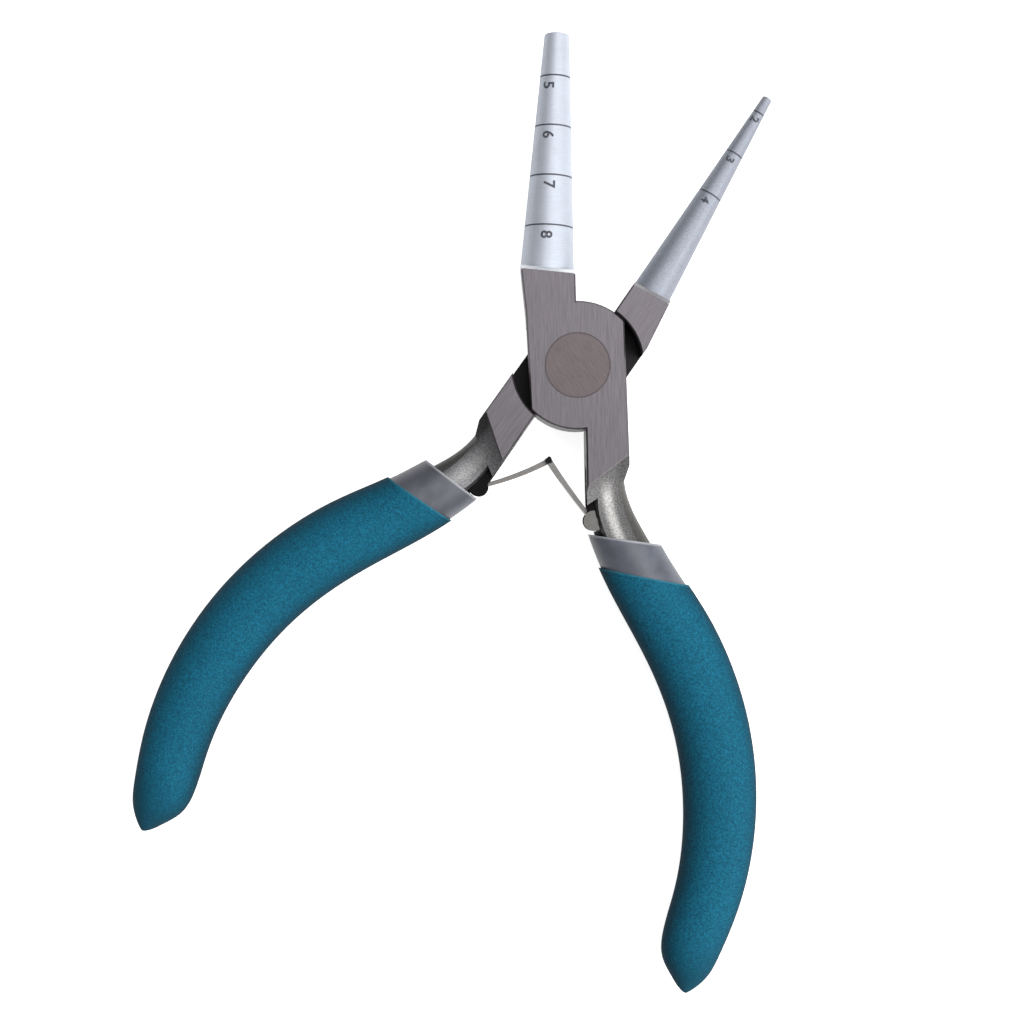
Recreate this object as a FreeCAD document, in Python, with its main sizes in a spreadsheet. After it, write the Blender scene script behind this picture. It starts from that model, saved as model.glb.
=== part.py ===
import FreeCAD, Part
import Sketcher
import math
import os

# Round nose pliers with a riveted lap joint, two leaf return springs and dipped handle grips.
#
# Row frame, millimetres: +Z is the pivot's axis, out of the front face; +Y runs towards the jaws,
# midway between the two halves; the origin is on the pivot's axis at the back face of the joint.
#
# Each half is drawn in its own frame: Z = 0 is the plane where the two lap plates meet, +Y runs
# along the closed tool towards the jaws, the jaw lies at -X and the handle at +X. Both halves are
# the same forging: the rear one is turned over about Y. Only their jaws and dip lines differ.

DIMENSIONS = (
    # joint
    ("joint_thickness", 10.0, "both lap plates together"),
    ("lap_gap", 0.02, "between a plate and the plane it turns against"),
    ("plate_radius", 10.3, "round ends of the lap plate"),
    ("shoulder_radius", 10.45, "round shoulder that clears the other half's plate"),
    ("plate_half_width", 7.6, "pivot to the plate's straight side"),
    ("plate_corner", 0.8, "rounding where a straight side meets a round end"),
    ("edge_bevel", 0.25, "bevel along the ground faces"),
    ("half_open_angle", 17.75, "between a half and the tool's centre line, at rest"),
    # rivet
    ("rivet_head_radius", 5.25, "countersunk head at the face"),
    ("rivet_shank_radius", 3.2, "shank"),
    ("rivet_head_land", 0.5, "straight edge of a head, before its cone"),
    ("front_seat_clearance", 0.02, "radial, tight in the front half"),
    ("rear_seat_clearance", 0.05, "radial, running in the rear half"),
    # jaws
    ("jaw_gap", 0.05, "head to centre line when closed"),
    ("jaw_set_in", 0.03, "jaw's inner line behind the head's inner side"),
    ("jaw_overlap", 2.0, "jaw's cone carried on past the root line before it is trimmed"),
    ("front_tip_width", 4.13, "thick jaw at its tip"),
    ("front_tip_reach", 54.0, "pivot to jaw tip"),
    ("front_taper", 0.1229, "jaw diameter gained per millimetre"),
    ("front_root_inner", 15.25, "height of the root line at the inner edge"),
    ("front_root_outer", 16.3, "height of the root line at the outer edge"),
    ("front_root_width", 8.8, "head at the root line"),
    ("front_hip_width", 8.1, "head just above the joint"),
    ("front_first_mark", 5.0, "diameter at the ring nearest the tip"),
    ("rear_tip_width", 1.62, "thin jaw at its tip"),
    ("rear_tip_reach", 53.6, "pivot to jaw tip"),
    ("rear_taper", 0.1288, "jaw diameter gained per millimetre"),
    ("rear_root_inner", 16.2, "height of the root line at the inner edge"),
    ("rear_root_outer", 16.9, "height of the root line at the outer edge"),
    ("rear_root_width", 6.5, "head at the root line"),
    ("rear_hip_width", 7.65, "head just above the joint"),
    ("rear_first_mark", 2.0, "diameter at the ring nearest the tip"),
    ("hip_height", 8.6, "where the side turns from the joint to the jaw"),
    ("root_bevel", 0.6, "bevel along the root line"),
    ("tip_round", 0.25, "rounding of a jaw's tip"),
    ("ring_groove", 0.11, "radius of a ring groove's section"),
    # neck and tang
    ("neck_inner", 1.15, "inner side of the neck beside the centre line"),
    ("neck_outer", 8.05, "outer side of the neck just below the joint"),
    ("grind_outer_drop", 14.2, "pivot to the end of the ground face, outer side"),
    ("grind_inner_drop", 19.4, "pivot to the end of the ground face, inner side"),
    ("shoulder_drop", 16.1, "pivot to the corner where the outer side turns into the neck"),
    ("waist_outer", 7.2, "outer side of the neck at its narrowest"),
    ("waist_drop", 18.5, "pivot to that narrowest place"),
    ("web_drop", 22.4, "pivot to the end of the straight inner side at full height"),
    ("tang_thickness", 7.2, "flat to flat"),
    ("hollow_radius", 14.0, "hollow in which the ground face runs out to the tang's flat"),
    # handle centre line: straight, bent out, straight, bent back, straight
    ("handle_offset", 4.5, "centre line beside the tool's centre line, at the joint"),
    ("bend_out_drop", 18.9, "pivot to the outward bend"),
    ("bend_out_radius", 20.0, "of the outward bend"),
    ("bend_out_angle", 28.5, "of the outward bend"),
    ("straight_run", 17.2, "between the two bends"),
    ("bend_back_radius", 56.0, "of the inward bend"),
    ("bend_back_angle", 50.0, "of the inward bend"),
    # grips
    ("grip_flatness", 0.92, "grip thickness over grip width"),
    ("cover_wall", 0.35, "teal skin over the grey skin"),
    ("cover_end_wall", 1.2, "teal skin past the grey skin's end"),
    ("grip_end_start", 96.5, "along the centre line, where the grey skin's end rounds in"),
    ("grip_end_length", 8.4, "length of that rounded end"),
    ("front_rim_drop", 28.0, "pivot to the grey skin's mouth"),
    ("front_rim_tilt", -9.0, "mouth's slope, outwards and up"),
    ("front_cover_drop", 34.1, "pivot to the teal skin's mouth"),
    ("front_cover_tilt", -12.0, "mouth's slope, outwards and up"),
    ("rear_rim_drop", 26.5, "pivot to the grey skin's mouth"),
    ("rear_rim_tilt", 3.0, "mouth's slope, outwards and up"),
    ("rear_cover_drop", 32.0, "pivot to the teal skin's mouth"),
    ("rear_cover_tilt", 0.0, "mouth's slope, outwards and up"),
    # leaf springs
    ("leaf_root_across", 2.2, "leaf's pin beside the half's centre line"),
    ("leaf_root_drop", 25.0, "pivot to the leaf's pin"),
    ("leaf_apex_drop", 15.75, "pivot to the apex on the tool's centre line, at rest"),
    ("leaf_height", 4.5, "width of the spring strip"),
    ("leaf_eye_radius", 1.15, "outside of the rolled eye"),
    ("leaf_root_thickness", 0.6, "strip beside the eye"),
    ("leaf_tip_thickness", 0.9, "strip at the apex"),
    ("front_leaf_bow", 0.2, "how far the strip's line bends from straight"),
    ("rear_leaf_bow", 0.45, "how far the strip's line bends from straight"),
    ("leaf_overrun", 0.5, "strip past the apex"),
    ("fork_length", 4.5, "length of the fork's slot and of the tongue"),
    ("fork_slot", 2.3, "fork's slot, across the strip"),
    ("tongue_height", 1.9, "tongue, across the strip"),
    ("pin_radius", 0.7, "cross pin in the leaf's eye"),
    ("pin_running_clearance", 0.05, "radial, in the leaf's eye"),
    ("lug_radius", 1.6, "cheeks that hold the pin"),
    ("lug_height", 6.0, "over both cheeks"),
    ("relief_height", 4.9, "slot between the cheeks"),
    ("relief_radius", 1.75, "room round the rolled eye"),
    ("relief_thickness", 1.3, "room for the strip when the handles close"),
)
HALVES = ("front", "rear")
RING_MARKS = {"front": 4, "rear": 3}

# Width of the grey skin at distances along the handle's centre line from the pivot's height.
LINER_STATIONS = (
    (25.0, 9.1),
    (31.8, 10.5),
    (40.9, 11.2),
    (52.0, 11.7),
    (66.6, 11.5),
    (78.6, 11.0),
    (90.8, 10.1),
)
# The rounded end of a skin, down to the drip point that dipping leaves: (share of its length,
# share of its width, shift towards the outer side).
END_SHAPE = (
    (0.0, 1.0, 0.0),
    (0.4, 0.9, 0.2),
    (0.68, 0.66, 0.7),
    (0.88, 0.34, 1.3),
    (1.0, 0.07, 1.8),
)
END_WIDTH = 9.5
# Width and thickness of the steel bar along the same line, before it gets its flats. The first
# station is inside the joint's head.
TANG_STATIONS = (
    (14.0, 6.7, 13.0),
    (19.2, 5.9, 10.6),
    (23.2, 6.8, 9.1),
    (27.6, 7.6, 8.6),
    (40.0, 8.2, 8.6),
    (64.0, 8.2, 8.6),
    (84.0, 7.2, 8.6),
    (96.0, 5.2, 8.6),
)
# Reach of the cutting blocks; and the closeness at which two lengths count as equal.
SPARE = 30.0
CLOSE = 1e-4

document = FreeCAD.newDocument("RoundNosePliers")
sizes = document.addObject("Spreadsheet::Sheet", "Sizes")
for row, (alias, number, note) in enumerate(DIMENSIONS, start=1):
    sizes.set("A%d" % row, note)
    sizes.set("B%d" % row, str(number))
    sizes.setAlias("B%d" % row, alias)
document.recompute()


def value(formula):
    """The number that a formula in the sheet's names works out to."""
    result = sizes.evalExpression(formula)
    return float(getattr(result, "Value", result))


def size(alias):
    """The number in one cell."""
    return value("Sizes." + alias)


def bind(thing, formulas):
    """Bind an object's properties to formulas in the sheet's names."""
    for name, formula in formulas.items():
        thing.setExpression(name, formula)


def point(across, along, through=0.0):
    """A place or a direction: to the right, towards the jaws, towards the front."""
    return FreeCAD.Vector(across, along, through)


def about_z(degrees):
    """A turn about the pivot's direction."""
    return FreeCAD.Rotation(point(0, 0, 1), degrees)


def moved(across, along, through):
    """A shift without a turn."""
    return FreeCAD.Placement(point(across, along, through), about_z(0))


def check(thing):
    """Recompute and stop if an object failed."""
    document.recompute()
    if "Invalid" in thing.State or "Error" in thing.State:
        raise RuntimeError("%s failed: %s" % (thing.Label, thing.State))
    if thing.Shape.isNull() or not thing.Shape.isValid():
        raise RuntimeError("%s has a bad shape" % thing.Label)


# ---------------------------------------------------------------- sketches and features


def new_body(name):
    return document.addObject("PartDesign::Body", name)


def new_sketch(body, name, role="XY_Plane", raised=None):
    """A sketch on one of the body's origin planes, raised along the plane's normal."""
    sketch = body.newObject("Sketcher::SketchObject", body.Name + "_" + name)
    plane = next(item for item in body.Origin.OriginFeatures if item.Role == role)
    sketch.AttachmentSupport = [(plane, "")]
    sketch.MapMode = "FlatFace"
    if raised:
        sketch.setExpression("AttachmentOffset.Base.z", raised)
    return sketch


def constrain(sketch, kind, places, formula):
    """Add a dimension and bind it to its formula."""
    number = sketch.addConstraint(Sketcher.Constraint(kind, *places, value(formula)))
    sketch.setExpression("Constraints[%d]" % number, formula)


def draw_outline(sketch, corners, round_sides=(), radius=None):
    """Close an outline through corners, each a pair of formulas.

    Sides listed in round_sides are arcs about the origin, anticlockwise, of the radius formula.
    A corner whose second formula is only a sign is where such an arc ends, above or below X.
    """
    places = []
    for across, along in corners:
        if along in ("+", "-"):
            rise = math.sqrt(value(radius) ** 2 - value(across) ** 2)
            places.append(point(value(across), rise if along == "+" else -rise))
        else:
            places.append(point(value(across), value(along)))
    count = len(places)
    for side, start in enumerate(places):
        finish = places[(side + 1) % count]
        if side in round_sides:
            circle = Part.Circle(point(0, 0), point(0, 0, 1), value(radius))
            first = math.atan2(start.y, start.x)
            last = math.atan2(finish.y, finish.x)
            sketch.addGeometry(Part.ArcOfCircle(circle, first, last))
        else:
            sketch.addGeometry(Part.LineSegment(start, finish))
    for side in range(count):
        following = (side + 1) % count
        sketch.addConstraint(Sketcher.Constraint("Coincident", side, 2, following, 1))
    for side in round_sides:
        sketch.addConstraint(Sketcher.Constraint("Coincident", side, 3, -1, 1))
        constrain(sketch, "Radius", (side,), radius)
    for side, (across, along) in enumerate(corners):
        constrain(sketch, "DistanceX", (-1, 1, side, 1), across)
        if along not in ("+", "-"):
            constrain(sketch, "DistanceY", (-1, 1, side, 1), along)


def draw_circle(sketch, radius, across=None, along=None):
    """A circle at the origin, or at a place given by two formulas."""
    middle = point(value(across), value(along)) if across else point(0, 0)
    number = sketch.addGeometry(Part.Circle(middle, point(0, 0, 1), value(radius)))
    constrain(sketch, "Radius", (number,), radius)
    if across:
        constrain(sketch, "DistanceX", (-1, 1, number, 3), across)
        constrain(sketch, "DistanceY", (-1, 1, number, 3), along)
    else:
        sketch.addConstraint(Sketcher.Constraint("Coincident", number, 3, -1, 1))


def pad(body, sketch, length):
    """A pad of a bound length, half to each side of its sketch."""
    feature = body.newObject("PartDesign::Pad", sketch.Name + "_pad")
    feature.Profile = sketch
    feature.SideType = "Symmetric"
    feature.setExpression("Length", length)
    check(feature)


def pocket(body, sketch, length, side="One side", backwards=False):
    """A pocket of a bound depth, which has to remove something."""
    before = body.Shape.Volume
    feature = body.newObject("PartDesign::Pocket", sketch.Name + "_pocket")
    feature.Profile = sketch
    feature.SideType = side
    feature.Reversed = backwards
    feature.setExpression("Length", length)
    check(feature)
    if body.Shape.Volume >= before:
        raise RuntimeError("%s removes nothing" % feature.Name)


def turn(body, sketch, kind):
    """A full turn of a sketch about its own upright axis: Revolution adds, Groove removes."""
    feature = body.newObject("PartDesign::" + kind, sketch.Name + "_turn")
    feature.Profile = sketch
    feature.ReferenceAxis = (sketch, ["V_Axis"])
    check(feature)


def round_edges(body, radius, wanted):
    """Round the edges that wanted() picks from the body's shape."""
    base = body.Tip
    names = ["Edge%d" % n for n, edge in enumerate(base.Shape.Edges, start=1) if wanted(edge)]
    feature = body.newObject("PartDesign::Fillet", "%s_%s" % (body.Name, radius))
    feature.Base = (base, names)
    feature.setExpression("Radius", "Sizes." + radius)
    check(feature)


# ---------------------------------------------------------------- handle centre line


def handle_place(distance):
    """Point and heading, in degrees from -Y towards +X, at a distance along the handle."""
    bend_out = math.radians(size("bend_out_angle")) * size("bend_out_radius")
    bend_back = math.radians(size("bend_back_angle")) * size("bend_back_radius")
    runs = (
        (size("bend_out_drop"), 0.0),
        (bend_out, size("bend_out_angle")),
        (size("straight_run"), 0.0),
        (bend_back, -size("bend_back_angle")),
        (math.inf, 0.0),
    )
    place = point(size("handle_offset"), 0)
    heading = 0.0
    for length, turning in runs:
        run = min(distance, length)
        turned = turning * run / length
        half_turn = math.radians(turned / 2)
        chord = run * math.sin(half_turn) / half_turn if turned else run
        direction = math.radians(heading + turned / 2)
        place = place + point(math.sin(direction), -math.cos(direction)) * chord
        heading += turned
        distance -= run
    return place, heading


def oval_section(name, distance, width, thickness, shift=0.0):
    """An ellipse square to the handle's centre line, shifted outwards from it."""
    oval = document.addObject("Part::Ellipse", name)
    place, heading = handle_place(distance)
    place = place + about_z(heading).multVec(point(shift, 0))
    # the ellipse's long side has to be its major axis, so it may have to be turned upright
    upright = value(thickness) > value(width)
    bind(oval, {
        "MajorRadius": "(%s) / 2" % (thickness if upright else width),
        "MinorRadius": "(%s) / 2" % (width if upright else thickness),
    })
    facing = FreeCAD.Rotation(point(1, 0, 0), 90)
    spin = about_z(90.0 if upright else 0.0)
    oval.Placement = FreeCAD.Placement(place, about_z(heading) * facing * spin)
    return oval


def loft(name, sections):
    """A closed smooth solid through sections."""
    solid = document.addObject("Part::Loft", name)
    solid.Sections = sections
    solid.Solid = True
    solid.MaxDegree = 3
    check(solid)
    return solid


# ---------------------------------------------------------------- placing a half


def half_placement(half):
    """From a half's own frame to the row frame, at rest."""
    angle = size("half_open_angle")
    middle = point(0, 0, size("joint_thickness") / 2)
    if half == "front":
        return FreeCAD.Placement(middle, about_z(angle))
    turned_over = FreeCAD.Rotation(point(0, 1, 0), 180)
    return FreeCAD.Placement(middle, about_z(-angle) * turned_over)


def leaf_placement():
    """From a leaf's own frame, eye at the origin and strip along +X, to its half's frame."""
    root = point(size("leaf_root_across"), -size("leaf_root_drop"))
    apex = about_z(-size("half_open_angle")).multVec(point(0, -size("leaf_apex_drop")))
    reach = apex - root
    return FreeCAD.Placement(root, about_z(math.degrees(math.atan2(reach.y, reach.x))))


def leaf_length():
    """Pin to apex."""
    root = leaf_placement().Base
    apex = about_z(-size("half_open_angle")).multVec(point(0, -size("leaf_apex_drop")))
    return (apex - root).Length


# ---------------------------------------------------------------- steel half


def head(half):
    """Lap plate with the roots of the jaw and of the neck, ground flat on its outer face."""
    body = new_body(half + "_head")
    outline = new_sketch(body, "outline")
    side = "Sizes.plate_half_width"
    corners = (
        (side, "+"),
        ("-Sizes.jaw_gap", "+"),
        ("-Sizes.jaw_gap", "Sizes.%s_root_inner" % half),
        ("-Sizes.%s_root_width" % half, "Sizes.%s_root_outer" % half),
        ("-Sizes.%s_hip_width" % half, "Sizes.hip_height"),
        ("-" + side, "-"),
        ("Sizes.neck_inner", "-"),
        ("Sizes.neck_inner", "-Sizes.web_drop"),
        ("Sizes.waist_outer", "-Sizes.waist_drop"),
        ("Sizes.neck_outer", "-Sizes.shoulder_drop"),
    )
    draw_outline(outline, corners, round_sides=(0, 5), radius="Sizes.plate_radius")
    pad(body, outline, "Sizes.joint_thickness")

    corner_side = size("plate_half_width")
    round_edges(body, "plate_corner", lambda edge: (
        edge.BoundBox.XLength < CLOSE and edge.BoundBox.YLength < CLOSE
        and abs(abs(edge.BoundBox.Center.x) - corner_side) < CLOSE
    ))

    # the other half's plate turns in this recess
    recess = new_sketch(body, "recess", raised="Sizes.lap_gap")
    draw_circle(recess, "Sizes.shoulder_radius")
    pocket(body, recess, "Sizes.joint_thickness")

    rivet_seat = new_sketch(body, "seat", role="XZ_Plane")
    draw_rivet_profile(rivet_seat, "Sizes.%s_seat_clearance" % half)
    turn(body, rivet_seat, "Groove")

    return bevel_faces(half, body)


def bevel_faces(half, body):
    """Bevel both ground faces down to the neck, wider along the jaw's root line."""
    face_height = size("joint_thickness") / 2
    root_level = size(half + "_root_inner")
    shoulder_level = -size("shoulder_drop")
    bevelled = document.addObject("Part::Chamfer", half + "_head_bevelled")
    bevelled.Base = body
    edges = []
    for number, edge in enumerate(body.Shape.Edges, start=1):
        ends = [vertex.Point for vertex in edge.Vertexes]
        on_face = all(abs(abs(end.z) - face_height) < CLOSE for end in ends)
        in_neck = max(end.y for end in ends) < shoulder_level + CLOSE
        if not on_face or in_neck or len(ends) < 2 or edge.BoundBox.ZLength > CLOSE:
            continue
        bevel = "edge_bevel"
        if min(end.y for end in ends) > root_level - CLOSE:
            bevel = "root_bevel"
        edges.append((number, size(bevel), size(bevel)))
    bevelled.Edges = edges
    check(bevelled)
    return bevelled


def draw_rivet_profile(sketch, clearance):
    """Half section of the rivet with its two countersunk heads, let out by the clearance."""
    shank = "Sizes.rivet_shank_radius + %s" % clearance
    rim = "Sizes.rivet_head_radius + %s" % clearance
    face = "Sizes.joint_thickness / 2"
    land = face + " - Sizes.rivet_head_land"
    throat = land + " - Sizes.rivet_head_radius + Sizes.rivet_shank_radius"
    draw_outline(sketch, (
        ("0", "-(%s)" % face),
        (rim, "-(%s)" % face),
        (rim, "-(%s)" % land),
        (shank, "-(%s)" % throat),
        (shank, throat),
        (rim, land),
        (rim, face),
        ("0", face),
    ))


def jaw(half):
    """Round tapered jaw with a ring groove at each marked diameter, down to the root line."""
    taper = "Sizes.%s_taper" % half
    tip_width = "Sizes.%s_tip_width" % half
    lean = "atan(%s) / 2" % taper
    inner = "-(Sizes.jaw_gap + Sizes.jaw_set_in)"
    apex_reach = "Sizes.%s_tip_reach + %s / %s" % (half, tip_width, taper)
    root_width = "(%s - Sizes.%s_root_inner + Sizes.jaw_overlap) * %s" % (apex_reach, half, taper)

    def radius_at(width):
        """The cone's radius where the jaw is this wide, seen square to the face."""
        return "(%s) / %s * sin(%s)" % (width, taper, lean)

    def depth_at(width):
        """Distance along the cone's axis from its apex to where the jaw is this wide."""
        return "(%s) / %s * cos(%s)" % (width, taper, lean)

    half_angle = math.radians(value(lean))
    apex = point(value(inner), value(apex_reach))
    down = point(-math.sin(half_angle), -math.cos(half_angle))
    upright = FreeCAD.Rotation(point(0, 0, 1), -down)

    cone = document.addObject("Part::Cone", half + "_jaw_cone")
    bind(cone, {
        "Radius1": radius_at(root_width),
        "Radius2": radius_at(tip_width),
        "Height": "%s - %s" % (depth_at(root_width), depth_at(tip_width)),
    })
    cone.Placement = FreeCAD.Placement(apex + down * value(depth_at(root_width)), upright)
    check(cone)

    rounded = document.addObject("Part::Fillet", half + "_jaw_rounded")
    rounded.Base = cone
    edges = cone.Shape.Edges
    tip = max(range(len(edges)), key=lambda index: edges[index].BoundBox.YMin)
    rounded.Edges = [(tip + 1, size("tip_round"), size("tip_round"))]
    check(rounded)

    cutters = []
    for step in range(RING_MARKS[half]):
        width = "Sizes.%s_first_mark + %d" % (half, step)
        ring = document.addObject("Part::Torus", "%s_ring_%d" % (half, step + 1))
        bind(ring, {"Radius1": radius_at(width), "Radius2": "Sizes.ring_groove"})
        ring.Placement = FreeCAD.Placement(apex + down * value(depth_at(width)), upright)
        cutters.append(ring)

    # everything below the slanted root line belongs to the head
    inner_end = point(-size("jaw_gap"), size(half + "_root_inner"))
    outer_end = point(-size(half + "_root_width"), size(half + "_root_outer"))
    slope = math.degrees(math.atan2(inner_end.y - outer_end.y, inner_end.x - outer_end.x))
    below = document.addObject("Part::Box", half + "_below_root")
    below.Length = below.Width = below.Height = SPARE
    below.Placement = (
        FreeCAD.Placement(inner_end, about_z(slope)) * moved(-SPARE / 2, -SPARE, -SPARE / 2)
    )
    cutters.append(below)
    return cut(half + "_jaw", rounded, cutters)


def cut(name, base, tools, operation="Part::Cut"):
    """Base less its tools, or base and one tool combined in another way."""
    tool = tools[0]
    if len(tools) > 1:
        tool = document.addObject("Part::MultiFuse", name + "_tools")
        tool.Shapes = tools
    result = document.addObject(operation, name)
    result.Base = base
    result.Tool = tool
    check(result)
    return result


def tang_bar(half):
    """Oval bar along the handle's centre line, which the grey skin is dipped over."""
    return loft(half + "_tang_bar", [
        oval_section("%s_tang_%d" % (half, number), distance, str(width), str(thickness))
        for number, (distance, width, thickness) in enumerate(TANG_STATIONS, start=1)
    ])


def within_faces(half, bar):
    """The bar, no thicker than the joint."""
    between = document.addObject("Part::Box", half + "_between_faces")
    between.Length = between.Width = 4 * SPARE
    bind(between, {"Height": "Sizes.joint_thickness"})
    between.Placement = moved(-SPARE, -4 * SPARE, -size("joint_thickness") / 2)
    return cut(half + "_bar_in_faces", bar, [between], "Part::Common")


def face_hollows(half):
    """Cutters that let each ground face down to the tang's flat, from the slanted grind line on."""
    outer = point(size("neck_outer"), -size("grind_outer_drop"))
    inner = point(size("neck_inner"), -size("grind_inner_drop"))
    line = outer - inner
    slant = FreeCAD.Placement(inner, about_z(math.degrees(math.atan2(line.y, line.x))))
    flat = size("tang_thickness") / 2
    deep = size("hollow_radius")
    fall = size("joint_thickness") / 2 - flat
    run = math.sqrt(deep ** 2 - (deep - fall) ** 2)
    along_line = FreeCAD.Rotation(point(0, 1, 0), 90)
    cutters = []
    for name, side in (("front", 1), ("back", -1)):
        hollow = document.addObject("Part::Cylinder", "%s_%s_hollow" % (half, name))
        bind(hollow, {"Radius": "Sizes.hollow_radius"})
        hollow.Height = SPARE
        centre = point(-SPARE / 2, -run, side * (flat + deep))
        hollow.Placement = slant * FreeCAD.Placement(centre, along_line)
        thinned = document.addObject("Part::Box", "%s_%s_flat" % (half, name))
        thinned.Length = thinned.Width = 4 * SPARE
        thinned.Height = SPARE
        foot = flat if side > 0 else -flat - SPARE
        thinned.Placement = slant * moved(-2 * SPARE, -4 * SPARE - run, foot)
        cutters += [hollow, thinned]
    return cutters


def upright_cylinder(name, radius, height):
    """A cylinder on the leaf's pin axis, half above and half below the meeting plane."""
    cylinder = document.addObject("Part::Cylinder", name)
    bind(cylinder, {"Radius": radius, "Height": height})
    root = leaf_placement().Base
    cylinder.Placement.Base = root - point(0, 0, value(height) / 2)
    return cylinder


def pin_web(half):
    """Low web that carries the neck's straight inner side on to the pin's cheeks."""
    body = new_body(half + "_web")
    outline = new_sketch(body, "outline")
    draw_outline(outline, (
        ("Sizes.neck_inner", "-Sizes.grind_inner_drop"),
        ("Sizes.neck_inner", "-Sizes.leaf_root_drop"),
        ("Sizes.handle_offset", "-Sizes.leaf_root_drop"),
        ("Sizes.handle_offset", "-Sizes.grind_inner_drop"),
    ))
    pad(body, outline, "Sizes.lug_height")
    return body


def strip_relief(half):
    """Room inside the neck for the leaf, from wide open to closed handles."""
    root = leaf_placement().Base
    reach = leaf_length()
    closed_apex = point(0, root.y + math.sqrt(reach ** 2 - root.x ** 2))
    line = closed_apex - root
    relief = document.addObject("Part::Box", half + "_strip_relief")
    relief.Length = reach
    relief.Width = SPARE
    bind(relief, {"Height": "Sizes.relief_height"})
    relief.Placement = (
        FreeCAD.Placement(root, about_z(math.degrees(math.atan2(line.y, line.x))))
        * moved(0, -size("relief_thickness") / 2, -size("relief_height") / 2)
    )
    return relief


def steel_half(half, bar):
    """Head, jaw, tang bar and the two cheeks that hold the leaf's pin, in one forging."""
    blank = document.addObject("Part::MultiFuse", half + "_blank")
    lug = upright_cylinder(half + "_lug", "Sizes.lug_radius", "Sizes.lug_height")
    blank.Shapes = [head(half), jaw(half), within_faces(half, bar), lug, pin_web(half)]
    blank.Refine = True
    check(blank)
    openings = [
        upright_cylinder(half + "_eye_relief", "Sizes.relief_radius", "Sizes.relief_height"),
        upright_cylinder(half + "_pin_hole", "Sizes.pin_radius", "Sizes.lug_height + 1"),
        strip_relief(half),
    ]
    openings += face_hollows(half)
    finished = cut(half + "_half", blank, openings)
    finished.Placement = half_placement(half)
    return finished


# ---------------------------------------------------------------- rivet, pins and leaves


def rivet():
    """Flush rivet with two countersunk heads."""
    body = new_body("pivot_rivet")
    section = new_sketch(body, "section", role="XZ_Plane")
    draw_rivet_profile(section, "0")
    turn(body, section, "Revolution")
    body.Placement = half_placement("front")
    return body


def spring_pin(half):
    """Cross pin through the lug's cheeks and the leaf's rolled eye."""
    body = new_body("spring_pin_" + half)
    section = new_sketch(body, "section")
    draw_circle(section, "Sizes.pin_radius")
    pad(body, section, "Sizes.lug_height")
    body.Placement = half_placement(half) * leaf_placement()
    return body


def spring_leaf(half, ending):
    """Tapered spring strip with a rolled eye at its root and a fork or a tongue at its tip."""
    body = new_body("spring_leaf_" + half)
    eye = new_sketch(body, "eye")
    draw_circle(eye, "Sizes.leaf_eye_radius")
    pad(body, eye, "Sizes.leaf_height")

    strip = new_sketch(body, "strip")
    draw_strip(strip, half)
    pad(body, strip, "Sizes.leaf_height")

    bore = new_sketch(body, "bore")
    draw_circle(bore, "Sizes.pin_radius + Sizes.pin_running_clearance")
    pocket(body, bore, "2 * Sizes.leaf_height", "Symmetric")

    if ending == "fork":
        slot = new_sketch(body, "slot")
        draw_tip_window(slot)
        pocket(body, slot, "Sizes.fork_slot", "Symmetric")
    else:
        for name, sign in (("front_shoulder", ""), ("back_shoulder", "-")):
            shoulder = new_sketch(body, name, raised=sign + "Sizes.tongue_height / 2")
            draw_tip_window(shoulder)
            pocket(body, shoulder, "Sizes.leaf_height", backwards=not sign)
    body.Placement = half_placement(half) * leaf_placement()
    return body


def draw_strip(sketch, half):
    """The strip seen on edge: two arcs from the eye to just past the apex."""
    reach = leaf_length()
    tip = reach + size("leaf_overrun")
    bow = size(half + "_leaf_bow")
    root_side = size("leaf_root_thickness") / 2
    tip_side = size("leaf_tip_thickness") / 2
    middle_side = (root_side + tip_side) / 2
    upper = Part.Arc(point(0, root_side), point(tip / 2, middle_side + bow), point(tip, tip_side))
    lower = Part.Arc(point(0, -root_side), point(tip / 2, bow - middle_side), point(tip, -tip_side))
    sketch.addGeometry(upper)
    sketch.addGeometry(Part.LineSegment(point(tip, -tip_side), point(tip, tip_side)))
    sketch.addGeometry(lower)
    sketch.addGeometry(Part.LineSegment(point(0, root_side), point(0, -root_side)))


def draw_tip_window(sketch):
    """A rectangle round the tip of the strip."""
    back = "%f - Sizes.fork_length" % (leaf_length() + size("leaf_overrun"))
    beyond = back + " + 2 * Sizes.fork_length"
    side = "2 * Sizes.leaf_tip_thickness"
    draw_outline(sketch, (
        (beyond, side),
        (back, side),
        (back, "-" + side),
        (beyond, "-" + side),
    ))


# ---------------------------------------------------------------- grips


def skin(name, extra_width, end_length):
    """Outer form of a dipped skin: ovals along the handle, rounded into the drip point."""
    stations = [(distance, width + extra_width, 0.0) for distance, width in LINER_STATIONS]
    for share, narrowing, shift in END_SHAPE:
        distance = size("grip_end_start") + share * end_length
        stations.append((distance, (END_WIDTH + extra_width) * narrowing, shift))
    sections = []
    for number, (distance, width, shift) in enumerate(stations, start=1):
        label = "%s_%d" % (name, number)
        thickness = "%f * Sizes.grip_flatness" % width
        sections.append(oval_section(label, distance, "%f" % width, thickness, shift))
    return loft(name, sections)


def place_at_drop(drop):
    """Point on the handle's centre line at a drop below the pivot, found by halving."""
    near = 0.0
    far = size("grip_end_start")
    while far - near > CLOSE:
        middle = (near + far) / 2
        if -handle_place(middle)[0].y < drop:
            near = middle
        else:
            far = middle
    return handle_place(near)[0]


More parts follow.
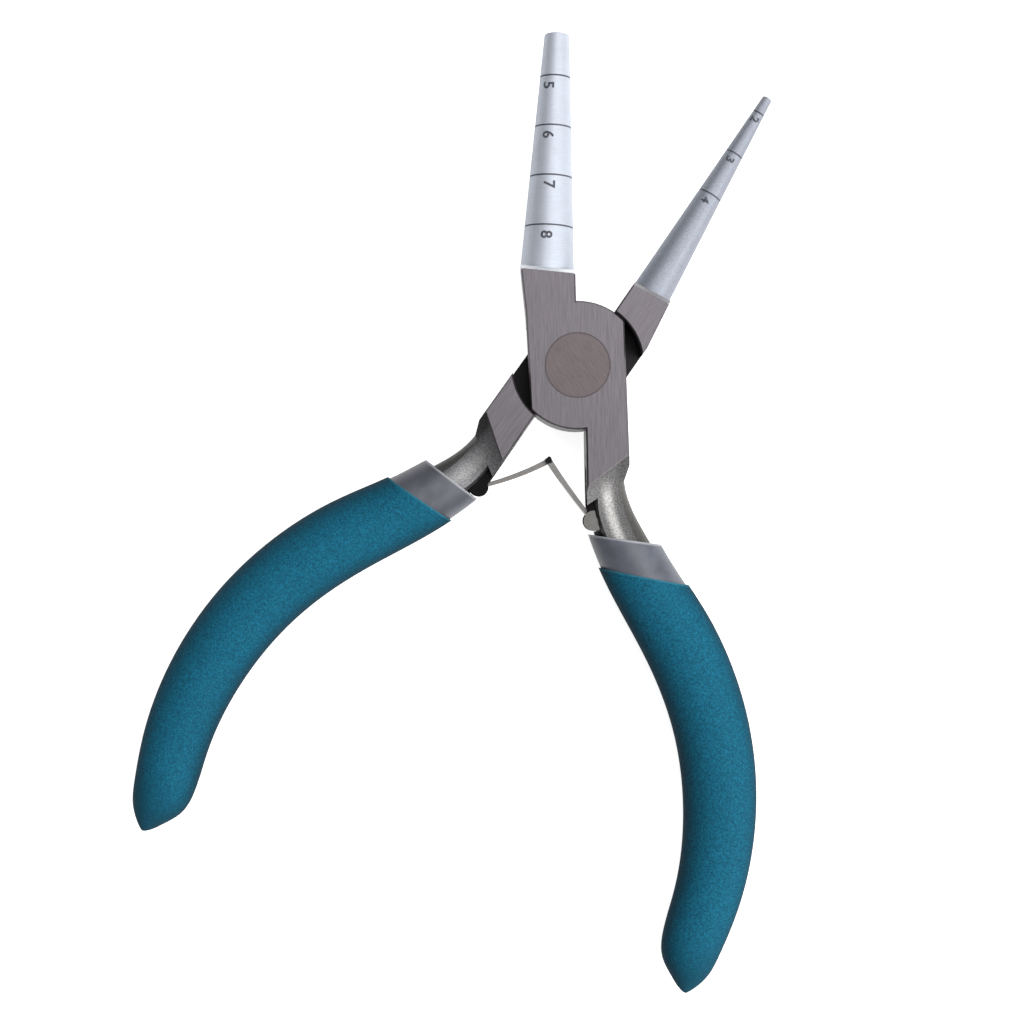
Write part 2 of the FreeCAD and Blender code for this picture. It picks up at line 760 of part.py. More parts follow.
def above_mouth(half, mouth):
    """Everything above a skin's mouth, the level that the liquid reached."""
    middle = place_at_drop(size("%s_%s_drop" % (half, mouth)))
    tilt = about_z(size("%s_%s_tilt" % (half, mouth)))
    block = document.addObject("Part::Box", "%s_above_%s" % (half, mouth))
    block.Length = block.Width = block.Height = 2 * SPARE
    block.Placement = FreeCAD.Placement(middle, tilt) * moved(-SPARE, 0, -SPARE)
    return block


def grip(half, bar):
    """Grey skin over the tang, and teal skin over the grey one."""
    wall = size("cover_wall")
    length = size("grip_end_length")
    inner_form = skin(half + "_liner_form", 0.0, length)
    outer_form = skin(half + "_cover_form", 2 * wall, length + size("cover_end_wall"))
    open_liner = cut(half + "_liner_open", inner_form, [above_mouth(half, "rim")])
    open_cover = cut(half + "_cover_open", outer_form, [above_mouth(half, "cover")])
    liner = cut("grip_liner_" + half, open_liner, [bar])
    cover = cut("grip_cover_" + half, open_cover, [inner_form])
    for piece in (liner, cover):
        piece.Placement = half_placement(half)
    return liner, cover


# ---------------------------------------------------------------- the tool


def build():
    """Every sub-part by its node name."""
    nodes = {"pivot_rivet": rivet()}
    for half, ending in zip(HALVES, ("fork", "tongue")):
        bar = tang_bar(half)
        liner, cover = grip(half, bar)
        nodes[half + "_half"] = steel_half(half, bar)
        nodes["grip_liner_" + half] = liner
        nodes["grip_cover_" + half] = cover
        nodes["spring_pin_" + half] = spring_pin(half)
        nodes["spring_leaf_" + half] = spring_leaf(half, ending)
    return nodes


nodes = build()
document.recompute()
for thing in document.Objects:
    if "Invalid" in thing.State or "Error" in thing.State:
        raise RuntimeError("%s failed: %s" % (thing.Label, thing.State))
for name, thing in nodes.items():
    thing.Label = name
    check(thing)
    if len(thing.Shape.Solids) != 1:
        raise RuntimeError("%s has %d solids" % (name, len(thing.Shape.Solids)))

os.makedirs("parts", exist_ok=True)
for name, thing in nodes.items():
    thing.Shape.exportStep(os.path.join("parts", name + ".step"))
    box = thing.Shape.BoundBox
    print("%-20s volume %9.2f  X %7.2f %7.2f  Y %7.2f %7.2f  Z %6.2f %6.2f" % (
        name, thing.Shape.Volume, box.XMin, box.XMax, box.YMin, box.YMax, box.ZMin, box.ZMax))
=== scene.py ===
"""Looks of the round nose pliers: materials, the jaws' numbers, camera, floor and light.

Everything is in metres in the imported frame: +Z is the pivot's axis out of the front face, +Y runs
towards the jaws midway between the halves, and the origin is at the back face of the joint.
"""
import math

import bmesh
import bpy
from mathutils import Matrix, Vector


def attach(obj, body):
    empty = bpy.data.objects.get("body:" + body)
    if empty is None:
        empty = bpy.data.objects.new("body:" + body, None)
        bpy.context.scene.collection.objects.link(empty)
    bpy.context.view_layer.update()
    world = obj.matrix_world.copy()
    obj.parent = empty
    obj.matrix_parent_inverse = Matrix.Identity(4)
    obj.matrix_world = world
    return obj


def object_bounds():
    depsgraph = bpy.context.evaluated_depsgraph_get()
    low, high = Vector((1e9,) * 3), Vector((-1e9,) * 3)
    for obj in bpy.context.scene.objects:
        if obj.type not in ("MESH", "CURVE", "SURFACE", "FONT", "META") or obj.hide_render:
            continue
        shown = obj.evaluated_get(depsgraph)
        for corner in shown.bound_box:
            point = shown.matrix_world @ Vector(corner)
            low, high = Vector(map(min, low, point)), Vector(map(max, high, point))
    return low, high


MM = 0.001

# ---------------------------------------------------------------- sizes shared with the part

HALF_OPEN = math.radians(17.75)
JOINT_MIDDLE = 5.0 * MM
# The faces of the joint and of the low web lie this far from the joint's middle.
FACE_HEIGHT = 5.0 * MM
WEB_HEIGHT = 3.0 * MM
HALVES = ("front", "rear")
# +1 where a half's jaw lies to the left of its own centre line, seen from the front
SIDE = {"front": 1.0, "rear": -1.0}
JAW_INNER = 0.08 * MM
TAPER = {"front": 0.1229, "rear": 0.1288}
TIP_WIDTH = {"front": 4.13 * MM, "rear": 1.62 * MM}
TIP_REACH = {"front": 54.0 * MM, "rear": 53.6 * MM}
ROOT_INNER = {"front": 15.25 * MM, "rear": 16.2 * MM}
ROOT_SLOPE = {"front": 0.12, "rear": 0.108}
NUMBERS = {"front": (5, 6, 7, 8), "rear": (2, 3, 4)}
RIVET_RADIUS = 5.25 * MM
PIN_ACROSS = 2.2 * MM
PIN_DROP = 25.0 * MM
LUG_RADIUS = 1.6 * MM
APEX_DROP = 15.75 * MM
# The neck's centre line is straight down to the bend, and then an arc.
NECK_ACROSS = 4.5 * MM
BEND_DROP = 18.9 * MM
BEND_RADIUS = 20.0 * MM
# A skin's mouth: its drop below the pivot, the centre line's place there, and its slope.
LINER_MOUTH = {"front": (28.0 * MM, 6.69 * MM, -9.0), "rear": (26.5 * MM, 6.0 * MM, 3.0)}
COVER_MOUTH = {"front": (34.1 * MM, 9.99 * MM, -12.0), "rear": (32.0 * MM, 8.85 * MM, 0.0)}
# Where a look starts and is complete, as places along a half. The grips are on the minus side.
NECK_FADE = (-13.8 * MM, -14.3 * MM)
# the painted shadow below the head fades out over this span
NECK_SHADOW_FADE = (-16.0 * MM, -22.0 * MM)
STREAK_FADE = (-17.5 * MM, -22.0 * MM)
WEB_FADE = (-18.8 * MM, -19.3 * MM)
TIP_FADE = (-90.0 * MM, -99.0 * MM)

# ---------------------------------------------------------------- looks

VIEW_CENTRE = Vector((-3.32, -25.5, 5.0)) * MM
VIEW_TURN = math.radians(16.65)
VIEW_WIDTH = 166.5 * MM
LENS = 61.0
SENSOR = 36.0
FLOOR_GLOW = 0.85
FLOOR_REACH = 3.0
FLOOR_GAP = 0.2 * MM
# Square soft boxes: name, place and power. The stronger one stands to the right.
LIGHTS = (
    ("key", (0.58, -0.05, 0.5), 5.8),
    ("top", (0.05, 0.28, 0.8), 3.5),
)
LIGHT_TARGET = (0.0, -0.02, 0.0)
LIGHT_WIDTH = 0.6
WORLD_COLOUR = (0.96, 0.98, 1.0, 1.0)
WORLD_STRENGTH = 0.17


class Look:
    """A material's node tree, with short names for the steps a pattern is made of."""

    def __init__(self, name):
        self.material = bpy.data.materials.new(name)
        self.material.use_nodes = True
        self.tree = self.material.node_tree
        self.tree.nodes.clear()
        self.output = self.tree.nodes.new("ShaderNodeOutputMaterial")
        self.shader = self.add("ShaderNodeBsdfPrincipled")
        self.tree.links.new(self.shader.outputs[0], self.output.inputs["Surface"])

    def add(self, kind, inputs=None, **settings):
        """A node with its settings made, and its inputs linked or set."""
        node = self.tree.nodes.new(kind)
        for name, setting in settings.items():
            setattr(node, name, setting)
        for name, source in (inputs or {}).items():
            self.feed(node.inputs[name], source)
        return node

    def feed(self, socket, source):
        if isinstance(source, bpy.types.NodeSocket):
            self.tree.links.new(source, socket)
        else:
            socket.default_value = source

    def surface(self, **inputs):
        """Set or link inputs of the surface shader, named with _ for a space."""
        for name, source in inputs.items():
            self.feed(self.shader.inputs[name.replace("_", " ")], source)

    def object_place(self, turn=0.0, stretch=(1.0, 1.0, 1.0)):
        """Place on the object, in metres, turned about Z and then stretched."""
        coordinates = self.add("ShaderNodeTexCoord").outputs["Object"]
        turned = self.add("ShaderNodeMapping", {"Vector": coordinates, "Rotation": (0, 0, turn)})
        mapping = self.add("ShaderNodeMapping", {
            "Vector": turned.outputs[0], "Scale": stretch})
        return mapping.outputs[0]

    def parts(self, vector):
        """A vector's three numbers."""
        return self.add("ShaderNodeSeparateXYZ", {"Vector": vector}).outputs[:3]

    def uprightness(self):
        """1 where the surface faces straight forwards or backwards, 0 on side walls."""
        normal = self.add("ShaderNodeTexCoord").outputs["Normal"]
        return self.math("ABSOLUTE", self.parts(normal)[2])

    def math(self, operation, *values):
        node = self.add("ShaderNodeMath", operation=operation)
        for socket, source in zip(node.inputs, values):
            self.feed(socket, source)
        return node.outputs[0]

    def product(self, *values):
        result = values[0]
        for value in values[1:]:
            result = self.math("MULTIPLY", result, value)
        return result

    def reach(self, one, other):
        """Distance in a plane, from its parts along two axes."""
        squares = self.math("ADD", self.product(one, one), self.product(other, other))
        return self.math("SQRT", squares)

    def step(self, value, low, high):
        """Rises smoothly from 0 at low to 1 at high, or falls if high is the smaller."""
        rising = high > low
        node = self.add("ShaderNodeMapRange", {
            "Value": value,
            "From Min": min(low, high),
            "From Max": max(low, high),
            "To Min": 0.0 if rising else 1.0,
            "To Max": 1.0 if rising else 0.0,
        }, interpolation_type="SMOOTHSTEP")
        return node.outputs["Result"]

    def spread(self, value, low, high):
        """A 0..1 value spread between two numbers."""
        node = self.add("ShaderNodeMapRange", {"Value": value, "To Min": low, "To Max": high})
        return node.outputs["Result"]

    def contrast(self, pattern, low, high):
        """A noise pattern's middle range, spread between two numbers."""
        return self.spread(self.step(pattern, 0.3, 0.7), low, high)

    def noise(self, place, scale, detail=3.0, roughness=0.55):
        node = self.add("ShaderNodeTexNoise", {
            "Vector": place, "Scale": scale, "Detail": detail, "Roughness": roughness})
        return node.outputs["Fac"]

    def grain(self, turn, across, along, detail=3.0, roughness=0.7):
        """Noise with its own fineness across and along a direction turned about Z from +Y."""
        place = self.object_place(turn, (across, along, across))
        return self.noise(place, 1.0, detail, roughness)

    def mix(self, factor, one, two):
        """Blend of two colours or patterns, where a plain number is given as a grey."""
        node = self.add("ShaderNodeMix", data_type="RGBA")
        self.feed(node.inputs["Factor"], factor)
        self.feed(node.inputs[6], one)
        self.feed(node.inputs[7], two)
        return node.outputs[2]

    def shade(self, tint, factor):
        """A colour made lighter or darker by a number."""
        node = self.add("ShaderNodeVectorMath", operation="SCALE")
        self.feed(node.inputs[0], tint if isinstance(tint, bpy.types.NodeSocket) else tint[:3])
        self.feed(node.inputs["Scale"], factor)
        return node.outputs[0]

    def bump(self, height, distance, strength=1.0):
        node = self.add("ShaderNodeBump", {
            "Height": height, "Distance": distance, "Strength": strength})
        self.surface(Normal=node.outputs[0])


def colour(red, green, blue):
    """A display colour from 0 to 255 as the linear colour that the shader takes."""
    def linear(level):
        share = level / 255
        return share / 12.92 if share <= 0.04045 else ((share + 0.055) / 1.055) ** 2.4
    return (linear(red), linear(green), linear(blue), 1.0)


def grey(level):
    """A linear grey, or a plain number where colours are mixed."""
    return (level, level, level, 1.0)


# ---------------------------------------------------------------- jaw geometry


def half_turn(half):
    """A half's turn about the pivot at rest."""
    return HALF_OPEN * SIDE[half]


def jaw_cone(half):
    """Apex and axis of a jaw's cone in the row frame, and half its angle."""
    lean = math.atan(TAPER[half]) / 2
    apex_reach = TIP_REACH[half] + TIP_WIDTH[half] / TAPER[half]
    apex = Vector((-JAW_INNER * SIDE[half], apex_reach, 0))
    axis = Vector((-math.sin(lean) * SIDE[half], -math.cos(lean), 0))
    turn = Matrix.Rotation(half_turn(half), 3, "Z")
    return turn @ apex + Vector((0, 0, JOINT_MIDDLE)), turn @ axis, lean


def ring_depth(half, number):
    """Distance along the cone's axis from its apex to the ring of a numbered diameter."""
    return number * MM / TAPER[half] * math.cos(math.atan(TAPER[half]) / 2)


# ---------------------------------------------------------------- steel

# NECK_SHADE is painted shade on the neck's outer side, and JAW_BLOTCH is the speckle's range on the
# jaw.
FLAT_STEEL = colour(104, 100, 104)
WALL_STEEL = colour(58, 57, 60)
JAW_STEEL = {"front": colour(204, 210, 221), "rear": colour(152, 156, 167)}
NECK_STEEL = {"front": colour(112, 111, 111), "rear": colour(144, 143, 145)}
# painted highlight down the middle of the neck's face
NECK_HIGHLIGHT = {"front": colour(186, 185, 183), "rear": colour(162, 161, 161)}
# painted shade on the neck's steep flanks
NECK_FLANK_SHADE = {"front": colour(80, 78, 75), "rear": colour(44, 43, 41)}
NECK_SHADE = {"front": 0.7, "rear": 0.4}
# painted highlight on the narrow bevel just before each jaw's root
BEVEL_HIGHLIGHT = {"front": colour(250, 252, 255), "rear": colour(164, 163, 166)}
# darker where the rear half's floor shows inside the joint
RECESS_DARK = colour(62, 60, 62)
# painted shade: the low web along the neck's inner side is near black
WEB_SHADE = colour(24, 23, 23)
# the front lug is plain steel, the rear lug and pin are painted near black as shade
LUG_STEEL_AND_SHADE = {"front": colour(112, 110, 108), "rear": colour(26, 25, 25)}
RING_GREY = colour(96, 98, 106)
JAW_BLOTCH = {"front": (0.96, 1.04), "rear": (0.86, 1.14)}
ROUGHNESS = {"flat": 0.42, "jaw": 0.55, "neck": 0.5, "recess": 0.8}
STEEL_RELIEF = 0.02 * MM


def half_steel(half):
    """Ground flats, turned jaw, forged neck with painted shade and highlight, and darker steel
    inside the joint.
    """
    look = Look("steel_" + half)
    turn = -half_turn(half)
    across, along, through = look.parts(look.object_place(turn))
    off_middle = look.math("ABSOLUTE", look.math("SUBTRACT", through, JOINT_MIDDLE))
    upright = look.uprightness()

    fine_grain = look.grain(turn, 9000.0, 300.0)
    broad_grain = look.grain(turn, 2600.0, 150.0)
    grain = look.math("MULTIPLY_ADD", fine_grain, 0.5, look.product(broad_grain, 0.5))
    turning = look.grain(turn, 500.0, 8000.0, roughness=0.6)
    cloud = look.noise(look.object_place(), 180.0, 2.0)
    speckle = look.noise(look.object_place(), 4200.0, 3.0, 0.7)

    # the jaw starts at a slanted line
    beside = look.math("ABSOLUTE", across)
    root_line = look.math("MULTIPLY_ADD", beside, ROOT_SLOPE[half], ROOT_INNER[half])
    past_root = look.math("SUBTRACT", along, root_line)
    jaw = look.step(past_root, -0.02 * MM, 0.02 * MM)
    # painted highlight: a pale band on the sloped bevel just before the jaw's root
    bevel_highlight = look.product(
        look.step(past_root, -0.75 * MM, -0.66 * MM),
        look.step(upright, 0.9, 0.8),
        look.step(upright, 0.5, 0.6),
        look.step(off_middle, FACE_HEIGHT - 0.7 * MM, FACE_HEIGHT - 0.65 * MM),
    )
    neck = look.product(
        look.step(along, *NECK_FADE),
        look.step(off_middle, FACE_HEIGHT - 0.02 * MM, FACE_HEIGHT - 0.14 * MM),
    )
    recess = look.step(off_middle, 0.3 * MM, 0.1 * MM)
    recess = look.product(recess, look.step(upright, 0.9, 0.99))
    wall = look.product(look.step(upright, 0.6, 0.3), look.math("SUBTRACT", 1.0, jaw))

    flat = look.shade(FLAT_STEEL, look.spread(look.step(grain, 0.34, 0.66), 0.82, 1.18))
    walls = look.shade(WALL_STEEL, look.spread(grain, 0.7, 1.3))
    body = look.mix(wall, flat, walls)
    jaw_colour = look.shade(JAW_STEEL[half], look.spread(turning, 0.86, 1.12))
    jaw_colour = look.shade(jaw_colour, look.spread(cloud, 0.9, 1.08))
    jaw_colour = look.shade(jaw_colour, look.contrast(speckle, *JAW_BLOTCH[half]))
    body = look.mix(jaw, body, jaw_colour)
    body = look.mix(neck, body, forged_neck(look, half, across, along, upright, speckle))
    web, lug = web_and_lug(look, across, along, off_middle)
    # painted shade on the low web, and the lug's colour round the pin
    web_shade_and_lug = look.mix(lug, WEB_SHADE, LUG_STEEL_AND_SHADE[half])
    body = look.mix(web, body, look.shade(web_shade_and_lug, look.spread(speckle, 0.6, 1.4)))
    body = look.mix(bevel_highlight, body, BEVEL_HIGHLIGHT[half])
    body = look.mix(look.product(ring_lines(look, half), jaw), body, RING_GREY)
    body = look.mix(recess, body, RECESS_DARK)

    # the jaws are fine matt, so they scatter more than they mirror
    rough = look.mix(jaw, grey(ROUGHNESS["flat"]), grey(ROUGHNESS["jaw"]))
    rough = look.mix(neck, rough, grey(ROUGHNESS["neck"]))
    rough = look.mix(recess, rough, grey(ROUGHNESS["recess"]))
    rough = look.math("MULTIPLY", rough, look.spread(grain, 0.85, 1.15))
    look.surface(Base_Color=body, Roughness=rough, Metallic=look.spread(jaw, 1.0, 0.4))
    height = look.mix(neck, look.mix(jaw, grain, turning), speckle)
    look.bump(height, STEEL_RELIEF, 0.5)
    return look.material


def forged_neck(look, half, across, along, upright, speckle):
    """Rough forged steel with painted shade on its outer side, flanks and near the head, and a
    painted highlight down the face.
    """
    past_bend = look.math("MAXIMUM", look.math("SUBTRACT", -BEND_DROP, along), 0.0)
    bend = look.product(past_bend, past_bend, 0.5 / BEND_RADIUS)
    outwards = look.math("SUBTRACT", look.math("ABSOLUTE", across), NECK_ACROSS)
    outwards = look.math("SUBTRACT", outwards, bend)
    # painted highlight: a lighter band down the neck's face
    highlight_band = look.product(
        look.step(outwards, -1.5 * MM, -0.3 * MM),
        look.step(outwards, 1.1 * MM, 0.0),
        look.step(along, *STREAK_FADE),
    )
    face = look.mix(highlight_band, NECK_STEEL[half], NECK_HIGHLIGHT[half])
    # painted shade: the neck's face darkens towards its outer side
    outer = look.step(outwards, 0.6 * MM, 2.4 * MM)
    face = look.shade(face, look.spread(outer, 1.0, NECK_SHADE[half]))
    # painted shadow: the neck is darker just below the head
    past_shadow = look.step(along, *NECK_SHADOW_FADE)
    face = look.shade(face, look.spread(past_shadow, 0.66, 1.0))
    # painted shade: the steep flanks take the darker flank colour
    forged = look.mix(look.step(upright, 0.55, 0.9), NECK_FLANK_SHADE[half], face)
    return look.shade(forged, look.contrast(speckle, 0.6, 1.36))


def web_and_lug(look, across, along, off_middle):
    """1 on the low web along the neck's inner side, and 1 round the pin at its end."""
    inwards = look.math("ABSOLUTE", across)
    web = look.product(
        look.step(off_middle, WEB_HEIGHT + 0.15 * MM, WEB_HEIGHT + 0.05 * MM),
        look.step(along, *WEB_FADE),
        look.step(inwards, 4.2 * MM, 3.6 * MM),
    )
    beside = look.math("SUBTRACT", inwards, PIN_ACROSS)
    below = look.math("ADD", along, PIN_DROP)
    from_pin = look.reach(beside, below)
    return web, look.step(from_pin, LUG_RADIUS + 0.15 * MM, LUG_RADIUS + 0.05 * MM)


def ring_lines(look, half):
    """1 on the thin ring at each numbered diameter of the jaw."""
    apex, axis, _ = jaw_cone(half)
    from_apex = look.add("ShaderNodeVectorMath", operation="SUBTRACT")
    look.feed(from_apex.inputs[0], look.object_place())
    from_apex.inputs[1].default_value = apex
    along_axis = look.add("ShaderNodeVectorMath", operation="DOT_PRODUCT")
    look.feed(along_axis.inputs[0], from_apex.outputs[0])
    along_axis.inputs[1].default_value = axis
    depth = along_axis.outputs["Value"]
    lines = 0.0
    for number in NUMBERS[half]:
        away = look.math("ABSOLUTE", look.math("SUBTRACT", depth, ring_depth(half, number)))
        line = look.step(away, 0.17 * MM, 0.09 * MM)
        lines = look.math("MAXIMUM", lines, line)
    return lines


LEAF_STEEL = colour(122, 120, 118)
SLOT_DARK = colour(28, 27, 27)
LEAF_GRAIN = math.radians(45)
RIVET_STEEL = colour(101, 93, 94)
RIVET_SEAM = colour(58, 54, 56)
RIVET_GRAIN = math.radians(-52)


def rivet_steel():
    """Warmer, softer steel, filed flush at its own slant, with a dark seam round its rim."""
    look = Look("steel_rivet")
    across, along, _ = look.parts(look.object_place())
    grain = look.grain(RIVET_GRAIN, 5200.0, 420.0, detail=4.0, roughness=0.65)
    cloud = look.noise(look.object_place(), 420.0, 3.0)
    radius = look.reach(across, along)
    seam = look.step(radius, RIVET_RADIUS - 0.32 * MM, RIVET_RADIUS - 0.04 * MM)
    tone = look.product(look.contrast(grain, 0.88, 1.12), look.spread(cloud, 0.88, 1.12))
    body = look.shade(RIVET_STEEL, tone)
    body = look.mix(look.product(seam, 0.55), body, RIVET_SEAM)
    look.surface(Base_Color=body, Metallic=1.0, Roughness=look.spread(grain, 0.4, 0.52))
    look.bump(grain, STEEL_RELIEF, 0.4)
    return look.material


def spring_steel(name, turn, tint):
    """Satin strip with drawing marks and darker patches, and a dark slot where the leaves meet."""
    look = Look(name)
    grain = look.grain(turn, 6000.0, 500.0, roughness=0.6)
    patch = look.noise(look.object_place(), 700.0, 3.0)
    tone = look.product(look.spread(grain, 0.75, 1.2), look.spread(patch, 0.7, 1.25))
    across, along, _ = look.parts(look.object_place())
    below = look.math("ADD", along, APEX_DROP)
    from_apex = look.reach(across, below)
    apex = look.step(from_apex, 0.75 * MM, 0.45 * MM)
    body = look.mix(apex, look.shade(tint, tone), SLOT_DARK)
    look.surface(Base_Color=body, Metallic=1.0, Roughness=look.spread(patch, 0.32, 0.5))
    look.bump(grain, STEEL_RELIEF, 0.4)
    return look.material


# ---------------------------------------------------------------- dipped grips


GREY_VINYL = {"front": colour(98, 101, 111), "rear": colour(88, 90, 99)}
GREY_RIM_HIGHLIGHT = colour(205, 206, 212)
TEAL_VINYL = colour(22, 94, 119)
TEAL_RIM_HIGHLIGHT = colour(70, 140, 158)
TEAL_TIP = colour(18, 70, 88)


def below_mouth(look, across, along, mouth):
    """How far a place lies below a skin's mouth."""
    drop, middle, slope = mouth
    outwards = look.math("SUBTRACT", look.math("ABSOLUTE", across), middle)
    level = look.math("MULTIPLY_ADD", outwards, math.tan(math.radians(slope)), -drop)
    return look.math("SUBTRACT", level, along)


def grey_vinyl(half):
    """Smooth grey first dip, faintly cloudy, with a painted highlight along the rim at its mouth.
    """
    look = Look("vinyl_grey_" + half)
    across, along, _ = look.parts(look.object_place(-half_turn(half)))
    cloud = look.noise(look.object_place(), 260.0, 3.0)
    fine = look.noise(look.object_place(), 2600.0, 2.0)
    body = look.shade(GREY_VINYL[half], look.contrast(cloud, 0.82, 1.16))
    # painted highlight along the rim at the liner's mouth
    rim_highlight = look.step(below_mouth(look, across, along, LINER_MOUTH[half]), 0.45 * MM, 0.15 * MM)
    body = look.mix(look.product(rim_highlight, 0.5), body, GREY_RIM_HIGHLIGHT)
    look.surface(Base_Color=body, Roughness=look.spread(fine, 0.36, 0.5))
    look.bump(look.mix(0.3, cloud, fine), 0.05 * MM, 0.35)
    return look.material


def teal_vinyl(half):
    """Foamed teal second dip: mottled and matt, with painted shade at its sides, darker at its tip,
    and a painted highlight at its mouth.
    """
    look = Look("vinyl_teal_" + half)
    across, along, _ = look.parts(look.object_place(-half_turn(half)))
    mottle = look.noise(look.object_place(), 2400.0, 4.0, 0.65)
    foam = look.noise(look.object_place(), 4800.0, 2.0, 0.6)
    cloud = look.noise(look.object_place(), 90.0, 2.0)
    tone = look.product(
        look.contrast(mottle, 0.74, 1.26),
        look.contrast(foam, 0.8, 1.2),
        look.spread(cloud, 0.86, 1.14),
        # painted shade: the grip darkens where its surface turns to the sides
        look.spread(look.step(look.uprightness(), 0.1, 0.96), 0.34, 1.06),
    )
    body = look.shade(TEAL_VINYL, tone)
    tip = look.step(along, *TIP_FADE)
    body = look.mix(look.product(tip, 0.55), body, TEAL_TIP)
    # painted highlight along the rim at the cover's mouth
    rim_highlight = look.step(below_mouth(look, across, along, COVER_MOUTH[half]), 0.4 * MM, 0.1 * MM)
    body = look.mix(look.product(rim_highlight, 0.45), body, TEAL_RIM_HIGHLIGHT)
    look.surface(
        Base_Color=body, Roughness=look.spread(mottle, 0.66, 0.84), Specular_IOR_Level=0.1)
    look.bump(look.mix(0.45, mottle, foam), 0.09 * MM, 0.7)
    return look.material


# ---------------------------------------------------------------- numbers on the jaws


MARK_DARK = colour(62, 62, 70)
MARK_WORN = colour(112, 114, 124)


def mark_paint():
    """Dark grey etching that has worn unevenly."""
    look = Look("mark_etching")
    wear = look.noise(look.object_place(), 3600.0, 3.0, 0.7)
    body = look.mix(look.step(wear, 0.35, 0.7), MARK_DARK, MARK_WORN)
    look.surface(Base_Color=body, Metallic=0.3, Roughness=0.6)
    look.bump(wear, 0.01 * MM, 0.4)
    return look.material


DIGIT_HEIGHT = {"front": 1.9 * MM, "rear": 1.45 * MM}
DIGIT_WEIGHT = {"front": 0.02, "rear": 0.03}
DIGIT_BELOW_RING = {"front": 1.65 * MM, "rear": 1.3 * MM}
DIGIT_ACROSS = {5: -1.1, 6: -0.8, 7: -0.3, 8: -0.4, 2: -0.05, 3: -0.15, 4: -0.2}
DIGIT_STRIP = 0.12 * MM
DIGIT_SUNK = 0.03 * MM
DIGIT_PROUD = 0.012 * MM
WELD_DISTANCE = 1e-6
CUT_DISTANCE = 1e-8


def flat_digit(number, height, weight):
    """A digit as a flat mesh about its own centre, cut into narrow strips up its height."""
    text = bpy.data.curves.new("digit", "FONT")
    text.body = str(number)
    text.offset = weight
    carrier = bpy.data.objects.new("digit", text)
    bpy.context.scene.collection.objects.link(carrier)
    graph = bpy.context.evaluated_depsgraph_get()
    mesh = bpy.data.meshes.new_from_object(carrier.evaluated_get(graph))
    bpy.data.objects.remove(carrier)
    shape = bmesh.new()
    shape.from_mesh(mesh)
    bpy.data.meshes.remove(mesh)
    low = Vector([min(vert.co[axis] for vert in shape.verts) for axis in range(3)])
    high = Vector([max(vert.co[axis] for vert in shape.verts) for axis in range(3)])
    scale = height / (high.y - low.y)
    for vert in shape.verts:
        vert.co = (vert.co - (low + high) / 2) * scale
    bmesh.ops.remove_doubles(shape, verts=shape.verts, dist=WELD_DISTANCE)
    strips = int(height / DIGIT_STRIP)
    for strip in range(1, strips):
        level = height * (strip / strips - 0.5)
        everything = shape.verts[:] + shape.edges[:] + shape.faces[:]
        bmesh.ops.bisect_plane(
            shape, geom=everything, dist=CUT_DISTANCE,
            plane_co=(0, level, 0), plane_no=(0, 1, 0))
    return shape


def jaw_digit(half, number, paint):
    """A digit wrapped on the jaw just below its ring, its top towards the right."""
    apex, axis, lean = jaw_cone(half)
    right = Vector((-axis.y, axis.x, 0))
    middle_depth = ring_depth(half, number) + DIGIT_BELOW_RING[half]
    across = DIGIT_ACROSS[number] * MM
    shape = flat_digit(number, DIGIT_HEIGHT[half], DIGIT_WEIGHT[half])

    def on_jaw(place, lift):
        depth = middle_depth + place.x
        radius = depth * math.tan(lean)
        turn = (place.y + across) / radius
        outwards = Vector((0, 0, math.cos(turn))) + right * math.sin(turn)
        return apex + axis * depth + outwards * (radius + lift)

    raised = bmesh.ops.extrude_face_region(shape, geom=shape.faces[:])
    tops = {item for item in raised["geom"] if isinstance(item, bmesh.types.BMVert)}
    for vert in shape.verts:
        lift = DIGIT_PROUD if vert in tops else -DIGIT_SUNK
        vert.co = on_jaw(vert.co.copy(), lift)
    bmesh.ops.recalc_face_normals(shape, faces=shape.faces)
    mesh = bpy.data.meshes.new("mark_%s_%d" % (half, number))
    shape.to_mesh(mesh)
    shape.free()
    mesh.materials.append(paint)
    mark = bpy.data.objects.new(mesh.name, mesh)
    bpy.context.scene.collection.objects.link(mark)
    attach(mark, half + "_side")


# ---------------------------------------------------------------- stage


def floor(level):
    """Plain pale floor under the tool."""
    mesh = bpy.data.meshes.new("floor")
    signs = ((-1, -1), (1, -1), (1, 1), (-1, 1))
    corners = [(FLOOR_REACH * x, FLOOR_REACH * y, level) for x, y in signs]
    mesh.from_pydata(corners, [], [(0, 1, 2, 3)])
    look = Look("floor_white")
    tone = look.spread(look.noise(look.object_place(), 40.0, 2.0), 0.985, 1.0)
    look.surface(Base_Color=look.shade(grey(0.9), tone), Roughness=0.9)
    look.surface(Emission_Color=grey(1.0), Emission_Strength=FLOOR_GLOW)
    mesh.materials.append(look.material)
    plane = bpy.data.objects.new("floor", mesh)
    # a white floor would throw its own light up onto the tool's sides
    plane.visible_diffuse = False
    bpy.context.scene.collection.objects.link(plane)


def soft_light(name, place, power):
    """A square soft box turned towards the tool."""
    lamp = bpy.data.lights.new(name, "AREA")
    lamp.shape = "SQUARE"
    lamp.size = LIGHT_WIDTH
    lamp.energy = power
    box = bpy.data.objects.new(name, lamp)
    box.location = place
    facing = Vector(LIGHT_TARGET) - Vector(place)
    box.rotation_euler = facing.to_track_quat("-Z", "Y").to_euler()
    bpy.context.scene.collection.objects.link(box)


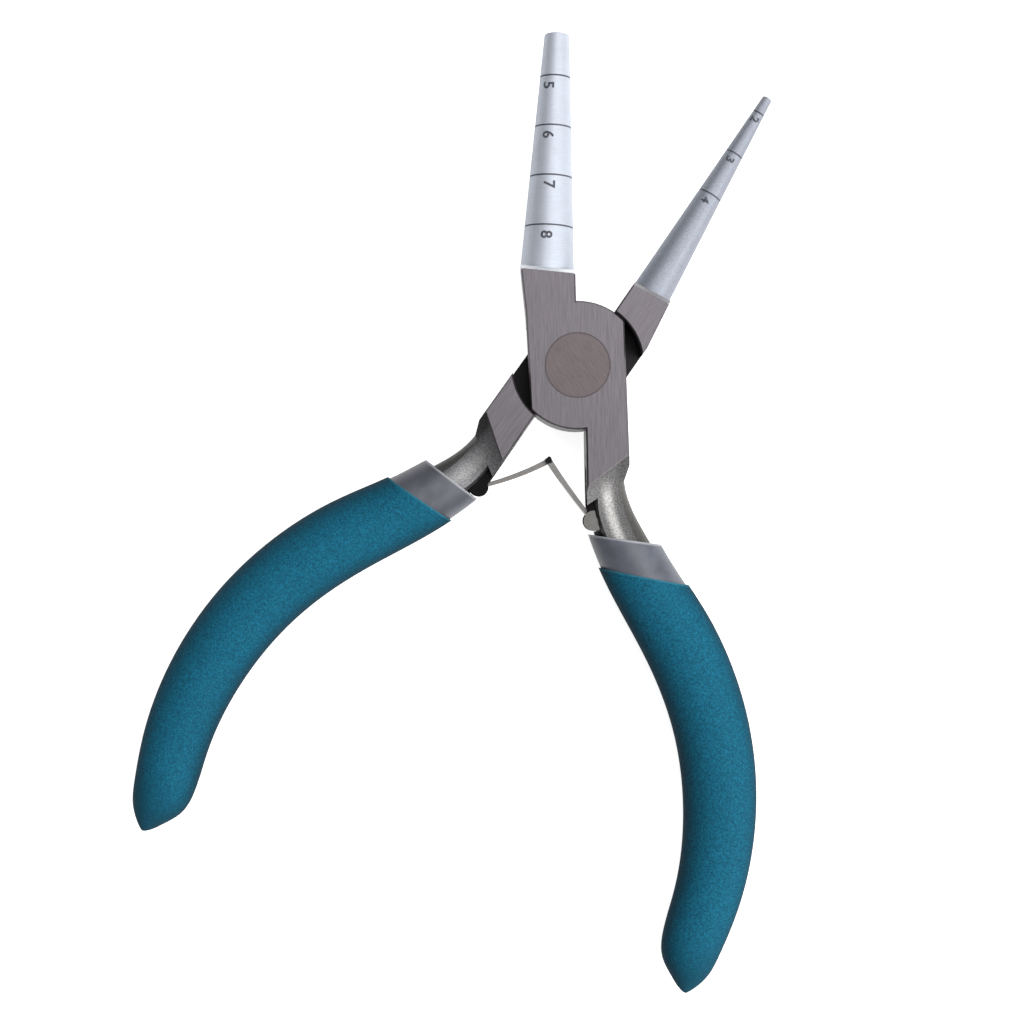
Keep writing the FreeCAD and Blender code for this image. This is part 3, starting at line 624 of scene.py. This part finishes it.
def surroundings():
    """Even pale light from all round."""
    world = bpy.data.worlds.new("studio")
    world.use_nodes = True
    background = world.node_tree.nodes["Background"]
    background.inputs["Color"].default_value = WORLD_COLOUR
    background.inputs["Strength"].default_value = WORLD_STRENGTH
    bpy.context.scene.world = world


def camera():
    """Straight above the tool, turned so that the thick jaw's inner side stands nearly upright."""
    data = bpy.data.cameras.new("camera")
    data.lens = LENS
    data.sensor_width = SENSOR
    data.clip_start = 0.01
    eye = bpy.data.objects.new("camera", data)
    distance = VIEW_WIDTH * LENS / SENSOR
    eye.location = VIEW_CENTRE + Vector((0, 0, distance))
    eye.rotation_euler = (0, 0, VIEW_TURN)
    bpy.context.scene.collection.objects.link(eye)
    bpy.context.scene.camera = eye


def put_on(node, material):
    """Give a CAD node its material."""
    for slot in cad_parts[node].material_slots:
        slot.material = material


# ---------------------------------------------------------------- the scene

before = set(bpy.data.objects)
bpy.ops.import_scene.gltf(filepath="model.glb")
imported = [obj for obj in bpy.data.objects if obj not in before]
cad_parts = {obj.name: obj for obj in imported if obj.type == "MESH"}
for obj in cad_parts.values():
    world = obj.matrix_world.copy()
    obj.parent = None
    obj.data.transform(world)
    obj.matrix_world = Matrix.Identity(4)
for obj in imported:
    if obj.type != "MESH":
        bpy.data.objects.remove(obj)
cad_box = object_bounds()

paint = mark_paint()
for half in HALVES:
    put_on(half + "_half", half_steel(half))
    put_on("grip_liner_" + half, grey_vinyl(half))
    put_on("grip_cover_" + half, teal_vinyl(half))
    grain = LEAF_GRAIN * SIDE[half]
    put_on("spring_leaf_" + half, spring_steel("steel_leaf_" + half, grain, LEAF_STEEL))
    # the pins take the lug's colour, which on the rear half is painted shade
    put_on("spring_pin_" + half, spring_steel("steel_pin_" + half, 0.0, LUG_STEEL_AND_SHADE[half]))
    for number in NUMBERS[half]:
        jaw_digit(half, number, paint)
put_on("pivot_rivet", rivet_steel())

lowest = cad_box[0][2]
floor(lowest - FLOOR_GAP)
surroundings()
for name, place, power in LIGHTS:
    soft_light(name, place, power)
camera()
bpy.context.scene.view_settings.view_transform = "Standard"
